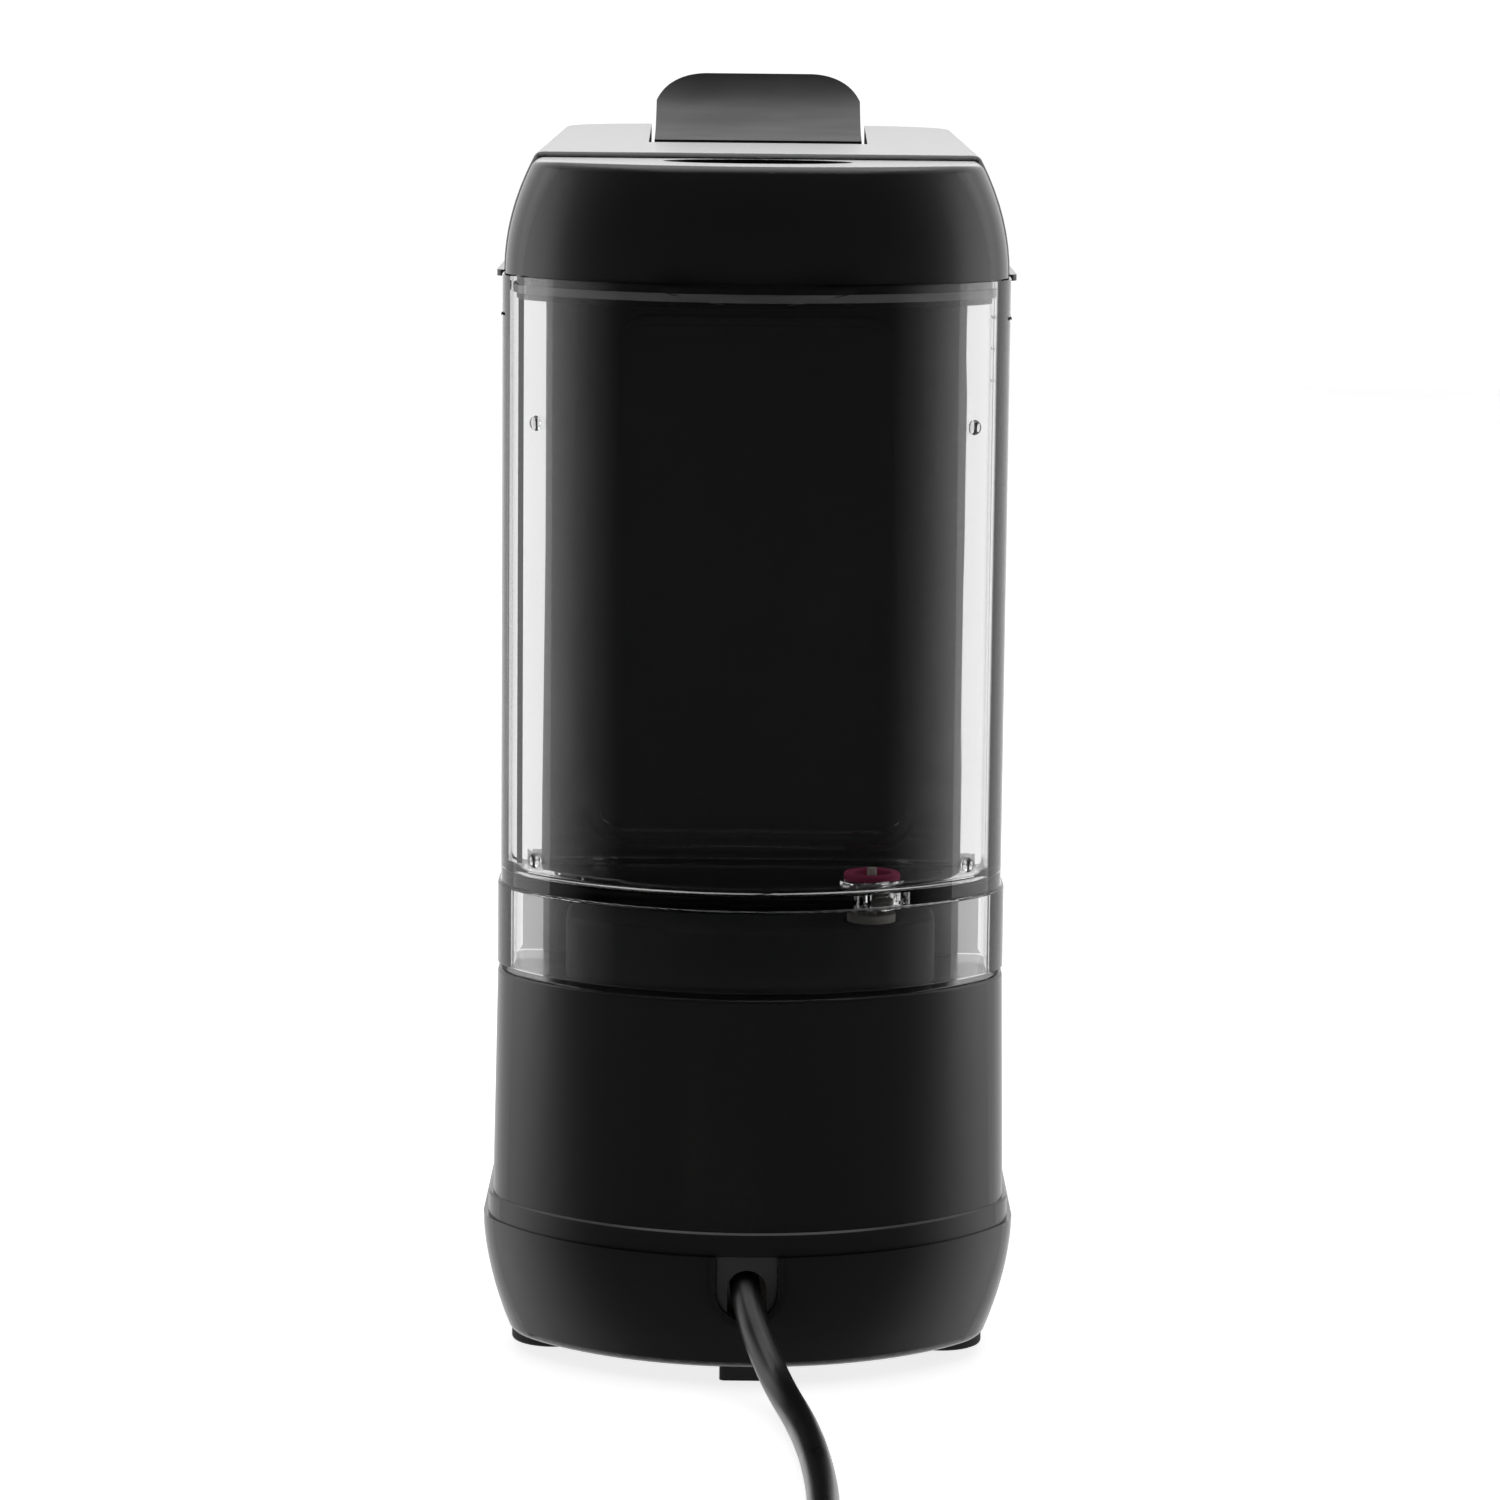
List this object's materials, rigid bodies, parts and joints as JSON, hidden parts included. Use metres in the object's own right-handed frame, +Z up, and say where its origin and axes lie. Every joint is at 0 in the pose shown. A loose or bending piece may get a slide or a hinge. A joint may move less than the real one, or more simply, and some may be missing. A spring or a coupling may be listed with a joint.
{
  "type": "single-serve capsule coffee maker",
  "caption": "Slim single-serve capsule coffee maker with a clear rear water tank, a lift-up brewing lever, a capsule holder, a drip tray and a coiled mains cord.",
  "frame": {"origin": "on the ground under the middle of the machine's footprint, cord left out", "axes": "+Z up, +Y towards the rear where the water tank and the cord are, the brewing side faces -Y"},
  "size_m": [0.1847, 0.5583, 0.321],
  "materials": {
    "gloss_black_abs": "high-gloss moulded black ABS",
    "satin_black_abs": "fine-textured black ABS",
    "matte_lever_abs": "matt dark grey moulded ABS",
    "clear_tank": "clear moulded copolyester",
    "red_silicone": "moulded crimson silicone",
    "black_rubber": "moulded black rubber",
    "grey_silicone": "extruded translucent silicone",
    "stainless_steel": "drawn stainless steel",
    "plated_brass": "nickel-plated brass",
    "cast_aluminium": "cast aluminium",
    "white_nylon": "natural glass-filled nylon",
    "circuit_board": "solder-masked glass-epoxy board",
    "board_black": "black component bodies",
    "cord_pvc": "satin black PVC sheath",
    "lens_white": "frosted clear lens"
  },
  "bodies": {
    "housing": {"base_pan": "gloss_black_abs", "base_band": "gloss_black_abs", "base_housing": "gloss_black_abs", "front_deck": "gloss_black_abs", "cord_panel": "gloss_black_abs", "tank_seat": "satin_black_abs", "column_rear_cover": "satin_black_abs", "column_front_cover": "gloss_black_abs", "head_plate": "satin_black_abs", "head_rim": "gloss_black_abs", "head_cover": "gloss_black_abs", "brew_head_shell": "gloss_black_abs", "brew_chamber": "white_nylon", "brew_spout": "satin_black_abs", "control_panel": "satin_black_abs", "indicator_lens": "lens_white", "switch_board": "circuit_board", "lever_pin": "stainless_steel", "dock_seal": "grey_silicone", "inlet_socket": "white_nylon", "inlet_gasket": "black_rubber", "chassis": "white_nylon", "water_pump": "white_nylon", "pump_coil": "stainless_steel", "pump_mounts": "black_rubber", "heater_block": "cast_aluminium", "thermostats": "stainless_steel", "control_board": "circuit_board", "board_parts": "board_black", "inlet_hose": "grey_silicone", "pressure_hose": "grey_silicone", "brew_hose": "grey_silicone", "round_feet": "black_rubber", "rear_foot": "black_rubber", "pan_screws": "stainless_steel", "cord_clamp": "white_nylon", "power_cord": "cord_pvc", "cord_coil": "cord_pvc", "cord_tie": "satin_black_abs", "plug_body": "cord_pvc", "plug_pins": "plated_brass"},
    "tank": {"water_tank": "clear_tank", "valve_body": "clear_tank", "valve_seal": "red_silicone", "valve_spring": "stainless_steel"},
    "valve": {"valve_poppet": "white_nylon"},
    "lid": {"tank_lid": "gloss_black_abs", "lid_gasket": "grey_silicone"},
    "lever": {"brew_lever": "matte_lever_abs", "lever_underplate": "satin_black_abs", "piercing_block": "satin_black_abs", "pod_gasket": "grey_silicone", "entry_needle": "stainless_steel"},
    "holder": {"pod_holder": "satin_black_abs", "exit_needle": "stainless_steel"},
    "tray": {"drip_tray": "satin_black_abs"},
    "grille": {"drip_grille": "stainless_steel"},
    "small_button": {"small_cup_button": "satin_black_abs"},
    "medium_button": {"medium_cup_button": "satin_black_abs"},
    "large_button": {"large_cup_button": "satin_black_abs"}
  },
  "joints": [
    {"name": "tank_lift", "type": "slide", "parent": "housing", "child": "tank", "axis": [0, 0, 1], "range_m": [0, 0.225]},
    {"name": "lid_lift", "type": "slide", "parent": "tank", "child": "lid", "axis": [0, 0, 1], "range_m": [0, 0.06]},
    {"name": "valve_travel", "type": "slide", "parent": "tank", "child": "valve", "axis": [0, 0, 1], "range_m": [0, 0.002], "stiffness_N_per_m": 100, "springref_m": -0.002, "deforming": ["valve_spring"]},
    {"name": "lever_hinge", "type": "hinge", "parent": "housing", "child": "lever", "pos_m": [0, 0.0103, 0.2997], "axis": [-1, 0, 0], "range_deg": [0, 80]},
    {"name": "holder_lift", "type": "slide", "parent": "housing", "child": "holder", "axis": [0, 0, 1], "range_m": [0, 0.077]},
    {"name": "tray_slide", "type": "slide", "parent": "housing", "child": "tray", "axis": [0, -1, 0], "range_m": [0, 0.15]},
    {"name": "grille_lift", "type": "slide", "parent": "tray", "child": "grille", "axis": [0, 0, 1], "range_m": [0, 0.1]},
    {"name": "small_button_press", "type": "slide", "parent": "housing", "child": "small_button", "axis": [0, 1, 0], "range_m": [0, 0.001], "stiffness_N_per_m": 600, "springref_m": -0.0008},
    {"name": "medium_button_press", "type": "slide", "parent": "housing", "child": "medium_button", "axis": [0, 1, 0], "range_m": [0, 0.001], "stiffness_N_per_m": 600, "springref_m": -0.0008},
    {"name": "large_button_press", "type": "slide", "parent": "housing", "child": "large_button", "axis": [0, 1, 0], "range_m": [0, 0.001], "stiffness_N_per_m": 600, "springref_m": -0.0008}
  ],
  "couplings": [
    {"joint": "holder_lift", "follows": "lever_hinge", "m_per_rad": 0.055}
  ]
}
